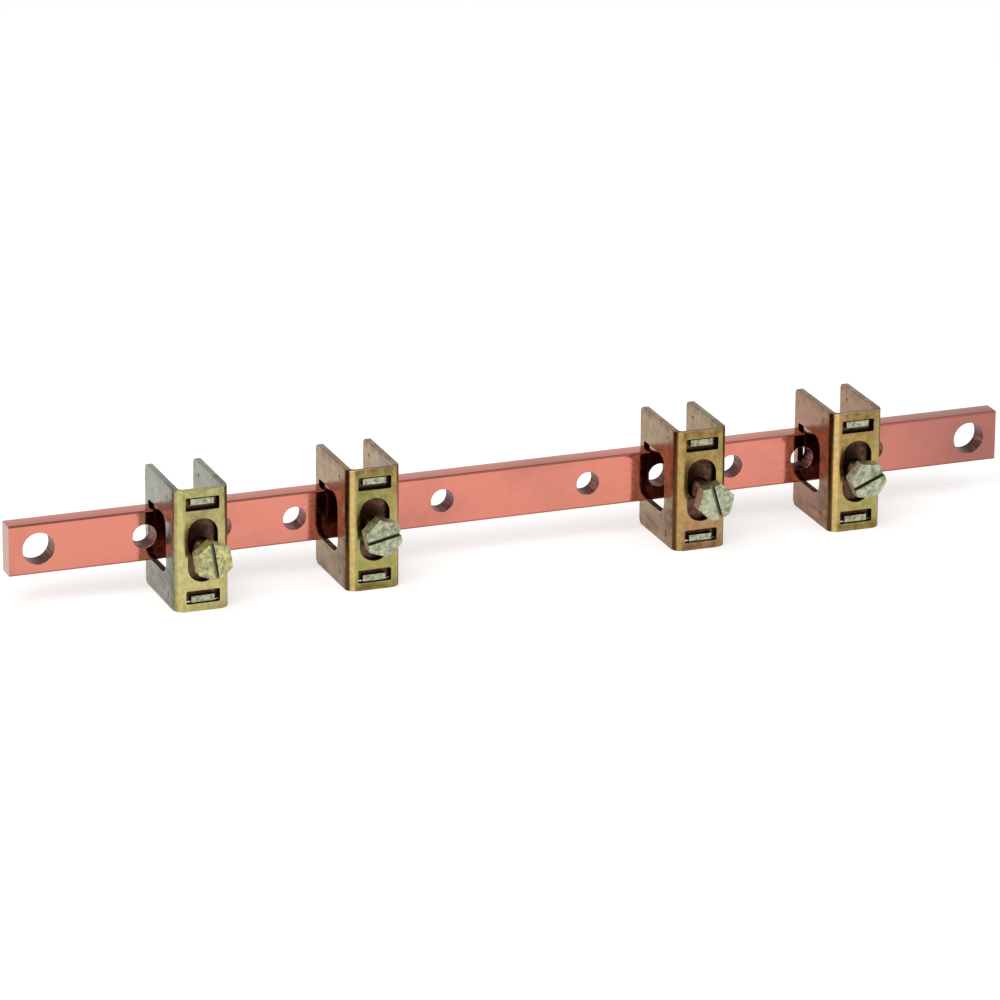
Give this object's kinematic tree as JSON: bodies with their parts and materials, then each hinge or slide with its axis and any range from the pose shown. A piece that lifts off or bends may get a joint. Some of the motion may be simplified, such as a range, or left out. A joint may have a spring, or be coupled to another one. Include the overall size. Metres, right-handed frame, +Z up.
{
  "type": "copper earth bar",
  "caption": "Flat copper earth bar with fixing and tap holes, carrying sliding box clamps of folded steel with slotted hexagon screws.",
  "frame": {"origin": "middle of the bar's rear face, halfway between the two fixing holes", "axes": "+X along the bar, +Y out of the rear face towards the wall, +Z up; the clamp screws face -Y"},
  "size_m": [0.244, 0.0315, 0.029],
  "materials": {
    "copper": "drawn copper, bright",
    "passivated_sheet": "zinc plated, yellow passivated",
    "zinc_screw": "zinc plated"
  },
  "bodies": {
    "bar": {"copper_bar": "copper"},
    "clamp_1": {"clamp_1_bracket": "passivated_sheet", "clamp_1_nut_plate": "passivated_sheet"},
    "pressure_plate_1": {"clamp_1_pressure_plate": "zinc_screw"},
    "screw_1": {"clamp_1_screw": "zinc_screw"},
    "clamp_2": {"clamp_2_bracket": "passivated_sheet", "clamp_2_nut_plate": "passivated_sheet"},
    "pressure_plate_2": {"clamp_2_pressure_plate": "zinc_screw"},
    "screw_2": {"clamp_2_screw": "zinc_screw"},
    "clamp_3": {"clamp_3_bracket": "passivated_sheet", "clamp_3_nut_plate": "passivated_sheet"},
    "pressure_plate_3": {"clamp_3_pressure_plate": "zinc_screw"},
    "screw_3": {"clamp_3_screw": "zinc_screw"},
    "clamp_4": {"clamp_4_bracket": "passivated_sheet", "clamp_4_nut_plate": "passivated_sheet"},
    "pressure_plate_4": {"clamp_4_pressure_plate": "zinc_screw"},
    "screw_4": {"clamp_4_screw": "zinc_screw"}
  },
  "joints": [
    {"name": "clamp_1_slide", "type": "slide", "parent": "bar", "child": "clamp_1", "axis": [1, 0, 0], "range_m": [-0.0191, 0.01355]},
    {"name": "pressure_plate_1_slide", "type": "slide", "parent": "clamp_1", "child": "pressure_plate_1", "axis": [0, 1, 0], "range_m": [-0.00205, 0.0052]},
    {"name": "screw_1_turn", "type": "hinge", "parent": "pressure_plate_1", "child": "screw_1", "pos_m": [-0.0809, -0.0249, 0.0005], "axis": [0, 1, 0], "range_deg": [-952.5, 2370]},
    {"name": "clamp_2_slide", "type": "slide", "parent": "bar", "child": "clamp_2", "axis": [1, 0, 0], "range_m": [-0.01355, 0.0328]},
    {"name": "pressure_plate_2_slide", "type": "slide", "parent": "clamp_2", "child": "pressure_plate_2", "axis": [0, 1, 0], "range_m": [-0.00395, 0.0033]},
    {"name": "screw_2_turn", "type": "hinge", "parent": "pressure_plate_2", "child": "screw_2", "pos_m": [-0.0398, -0.023, 0.0005], "axis": [0, 1, 0], "range_deg": [-1807.5, 1515]},
    {"name": "clamp_3_slide", "type": "slide", "parent": "bar", "child": "clamp_3", "axis": [1, 0, 0], "range_m": [-0.0335, 0.0126]},
    {"name": "pressure_plate_3_slide", "type": "slide", "parent": "clamp_3", "child": "pressure_plate_3", "axis": [0, 1, 0], "range_m": [-0.00135, 0.0059]},
    {"name": "screw_3_turn", "type": "hinge", "parent": "pressure_plate_3", "child": "screw_3", "pos_m": [0.0405, -0.0256, 0.0005], "axis": [0, 1, 0], "range_deg": [-637.5, 2685]},
    {"name": "clamp_4_slide", "type": "slide", "parent": "bar", "child": "clamp_4", "axis": [1, 0, 0], "range_m": [-0.0126, 0.0203]},
    {"name": "pressure_plate_4_slide", "type": "slide", "parent": "clamp_4", "child": "pressure_plate_4", "axis": [0, 1, 0], "range_m": [-0.00335, 0.0039]},
    {"name": "screw_4_turn", "type": "hinge", "parent": "pressure_plate_4", "child": "screw_4", "pos_m": [0.0797, -0.0236, 0.0005], "axis": [0, 1, 0], "range_deg": [-1537.5, 1785]}
  ],
  "couplings": [
    {"joint": "screw_1_turn", "follows": "pressure_plate_1_slide", "rad_per_m": 7854},
    {"joint": "screw_2_turn", "follows": "pressure_plate_2_slide", "rad_per_m": 7854},
    {"joint": "screw_3_turn", "follows": "pressure_plate_3_slide", "rad_per_m": 7854},
    {"joint": "screw_4_turn", "follows": "pressure_plate_4_slide", "rad_per_m": 7854}
  ]
}
